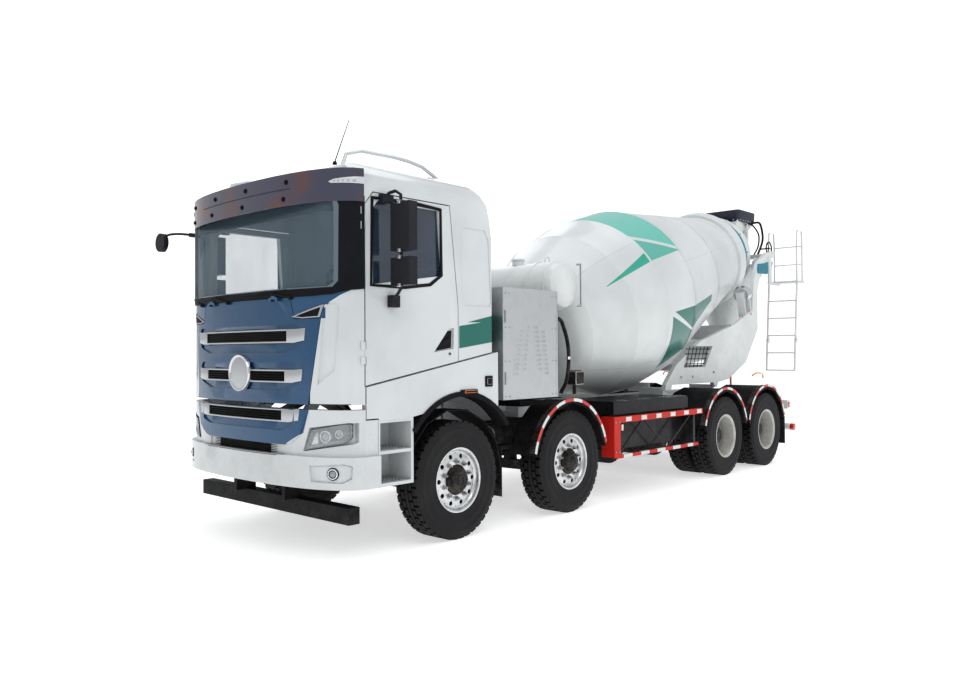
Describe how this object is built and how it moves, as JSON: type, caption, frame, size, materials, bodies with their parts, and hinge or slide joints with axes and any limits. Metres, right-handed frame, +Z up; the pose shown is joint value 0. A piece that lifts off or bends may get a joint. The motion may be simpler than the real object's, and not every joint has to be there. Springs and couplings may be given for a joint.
{
  "type": "concrete mixer truck",
  "caption": "Long forward-control truck with twin steered front axles, a driven tandem, a tilted mixing drum, a charging hopper, a discharge funnel and a folding chute.",
  "frame": {"origin": "on the ground at the middle of the truck's bounding box", "axes": "+Y runs from the cab towards the drum's mouth, +X is the truck's left side, +Z is up"},
  "size_m": [3.14, 10.2098, 4.04],
  "materials": {
    "cab_paint": "glossy off-white paint",
    "mixer_paint": "white paint with dried cement stains",
    "blue_paint": "steel blue paint",
    "frame_black": "dusty black chassis paint",
    "tyre_rubber": "worn rubber",
    "wheel_alloy": "forged aluminium",
    "black_plastic": "grained black plastic",
    "tinted_plastic": "dark tinted acrylic",
    "window_glass": "tinted glass",
    "seat_cloth": "woven seat cloth",
    "cabinet_sheet": "pressed aluminium sheet"
  },
  "bodies": {
    "chassis": {"chassis_frame": "frame_black", "mixer_subframe": "frame_black", "drive_motor": "frame_black", "front_underrun_bar": "frame_black", "rear_underrun_bar": "mixer_paint", "front_axle_1": "frame_black", "front_axle_2": "frame_black", "rear_bogie": "frame_black", "steer_mudguards_left": "black_plastic", "steer_mudguards_right": "black_plastic", "rear_mudguards_left": "black_plastic", "rear_mudguards_right": "black_plastic", "side_box_left": "black_plastic", "side_box_right": "black_plastic", "bumper": "cab_paint", "step_fender_left": "cab_paint", "step_fender_right": "cab_paint", "battery_cabinet": "cabinet_sheet", "water_tank": "mixer_paint", "drum_gearbox": "mixer_paint", "rear_support": "mixer_paint", "discharge_funnel": "mixer_paint", "hopper": "mixer_paint", "ladder": "mixer_paint"},
    "cab": {"cab_shell": "cab_paint", "windscreen": "window_glass", "sun_visor": "tinted_plastic", "corner_mirror": "black_plastic", "seats": "seat_cloth", "dashboard": "black_plastic"},
    "door_left_body": {"door_left": "cab_paint", "door_glass_left": "window_glass", "door_mirror_left": "black_plastic"},
    "door_right_body": {"door_right": "cab_paint", "door_glass_right": "window_glass", "door_mirror_right": "black_plastic"},
    "flap_body": {"front_flap": "blue_paint"},
    "drum_body": {"drum": "mixer_paint"},
    "roller_left": {"drum_roller_left": "mixer_paint"},
    "roller_right": {"drum_roller_right": "mixer_paint"},
    "ladder_foot_body": {"ladder_foot": "mixer_paint"},
    "swivel_body": {"chute_swivel": "mixer_paint"},
    "chute_body": {"swing_chute": "mixer_paint"},
    "extension_body": {"extension_chute": "mixer_paint"},
    "knuckle_1_left_body": {"knuckle_1_left": "frame_black"},
    "front_wheel_1_left": {"tyre_1_left": "tyre_rubber", "rim_1_left": "wheel_alloy"},
    "knuckle_1_right_body": {"knuckle_1_right": "frame_black"},
    "front_wheel_1_right": {"tyre_1_right": "tyre_rubber", "rim_1_right": "wheel_alloy"},
    "knuckle_2_left_body": {"knuckle_2_left": "frame_black"},
    "front_wheel_2_left": {"tyre_2_left": "tyre_rubber", "rim_2_left": "wheel_alloy"},
    "knuckle_2_right_body": {"knuckle_2_right": "frame_black"},
    "front_wheel_2_right": {"tyre_2_right": "tyre_rubber", "rim_2_right": "wheel_alloy"},
    "twin_3_left": {"twin_wheel_3_left": "tyre_rubber"},
    "twin_3_right": {"twin_wheel_3_right": "tyre_rubber"},
    "twin_4_left": {"twin_wheel_4_left": "tyre_rubber"},
    "twin_4_right": {"twin_wheel_4_right": "tyre_rubber"}
  },
  "joints": [
    {"name": "cab_tilt", "type": "hinge", "parent": "chassis", "child": "cab", "pos_m": [0, -4.84485, 0.95], "axis": [1, 0, 0], "range_deg": [0, 50]},
    {"name": "door_left_hinge", "type": "hinge", "parent": "cab", "child": "door_left_body", "pos_m": [1.246, -4.68985, 2.25], "axis": [0, 0, -1], "range_deg": [0, 75]},
    {"name": "door_right_hinge", "type": "hinge", "parent": "cab", "child": "door_right_body", "pos_m": [-1.246, -4.68985, 2.25], "axis": [0, 0, 1], "range_deg": [0, 75]},
    {"name": "flap_hinge", "type": "hinge", "parent": "cab", "child": "flap_body", "pos_m": [0, -5.06485, 2.165], "axis": [-1, 0, 0], "range_deg": [0, 80]},
    {"name": "steer_1_left", "type": "hinge", "parent": "chassis", "child": "knuckle_1_left_body", "pos_m": [0.95, -3.54485, 0.54], "axis": [0, 0, 1], "range_deg": [-32, 32]},
    {"name": "wheel_1_left_spin", "type": "hinge", "parent": "knuckle_1_left_body", "child": "front_wheel_1_left", "pos_m": [1.08, -3.54485, 0.54], "axis": [1, 0, 0], "continuous": true},
    {"name": "steer_1_right", "type": "hinge", "parent": "chassis", "child": "knuckle_1_right_body", "pos_m": [-0.95, -3.54485, 0.54], "axis": [0, 0, 1], "range_deg": [-32, 32]},
    {"name": "wheel_1_right_spin", "type": "hinge", "parent": "knuckle_1_right_body", "child": "front_wheel_1_right", "pos_m": [-1.08, -3.54485, 0.54], "axis": [1, 0, 0], "continuous": true},
    {"name": "steer_2_left", "type": "hinge", "parent": "chassis", "child": "knuckle_2_left_body", "pos_m": [0.95, -1.79485, 0.54], "axis": [0, 0, 1], "range_deg": [-20, 20]},
    {"name": "wheel_2_left_spin", "type": "hinge", "parent": "knuckle_2_left_body", "child": "front_wheel_2_left", "pos_m": [1.08, -1.79485, 0.54], "axis": [1, 0, 0], "continuous": true},
    {"name": "steer_2_right", "type": "hinge", "parent": "chassis", "child": "knuckle_2_right_body", "pos_m": [-0.95, -1.79485, 0.54], "axis": [0, 0, 1], "range_deg": [-20, 20]},
    {"name": "wheel_2_right_spin", "type": "hinge", "parent": "knuckle_2_right_body", "child": "front_wheel_2_right", "pos_m": [-1.08, -1.79485, 0.54], "axis": [1, 0, 0], "continuous": true},
    {"name": "wheel_3_left_spin", "type": "hinge", "parent": "chassis", "child": "twin_3_left", "pos_m": [0.915, 1.85515, 0.54], "axis": [1, 0, 0], "continuous": true},
    {"name": "wheel_3_right_spin", "type": "hinge", "parent": "chassis", "child": "twin_3_right", "pos_m": [-0.915, 1.85515, 0.54], "axis": [1, 0, 0], "continuous": true},
    {"name": "wheel_4_left_spin", "type": "hinge", "parent": "chassis", "child": "twin_4_left", "pos_m": [0.915, 3.20515, 0.54], "axis": [1, 0, 0], "continuous": true},
    {"name": "wheel_4_right_spin", "type": "hinge", "parent": "chassis", "child": "twin_4_right", "pos_m": [-0.915, 3.20515, 0.54], "axis": [1, 0, 0], "continuous": true},
    {"name": "drum_spin", "type": "hinge", "parent": "chassis", "child": "drum_body", "pos_m": [0, -0.81785, 1.971], "axis": [0, 0.9632, 0.2689], "continuous": true},
    {"name": "roller_left_spin", "type": "hinge", "parent": "chassis", "child": "roller_left", "pos_m": [0.69, 3.6242, 2.60906], "axis": [0, 0.9632, 0.2689], "continuous": true},
    {"name": "roller_right_spin", "type": "hinge", "parent": "chassis", "child": "roller_right", "pos_m": [-0.69, 3.6242, 2.60906], "axis": [0, 0.9632, 0.2689], "continuous": true},
    {"name": "chute_swing", "type": "hinge", "parent": "chassis", "child": "swivel_body", "pos_m": [0, 4.40515, 1.6], "axis": [0, 0, -1], "range_deg": [0, 90]},
    {"name": "chute_tilt", "type": "hinge", "parent": "swivel_body", "child": "chute_body", "pos_m": [0, 4.40515, 1.93], "axis": [0, 1, 0], "range_deg": [-15, 10]},
    {"name": "ladder_fold", "type": "hinge", "parent": "chassis", "child": "ladder_foot_body", "pos_m": [0.85, 4.76934, 1.9], "axis": [1, 0, 0], "range_deg": [0, 170]},
    {"name": "extension_fold", "type": "hinge", "parent": "chute_body", "child": "extension_body", "pos_m": [-1.1307, 4.40515, 1.58497], "axis": [0, -1, 0], "range_deg": [0, 176]}
  ],
  "couplings": [
    {"joint": "steer_1_right", "follows": "steer_1_left", "ratio": 1},
    {"joint": "steer_2_left", "follows": "steer_1_left", "ratio": 0.62},
    {"joint": "steer_2_right", "follows": "steer_1_left", "ratio": 0.62},
    {"joint": "roller_left_spin", "follows": "drum_spin", "ratio": -6.4791},
    {"joint": "roller_right_spin", "follows": "drum_spin", "ratio": -6.4791}
  ]
}
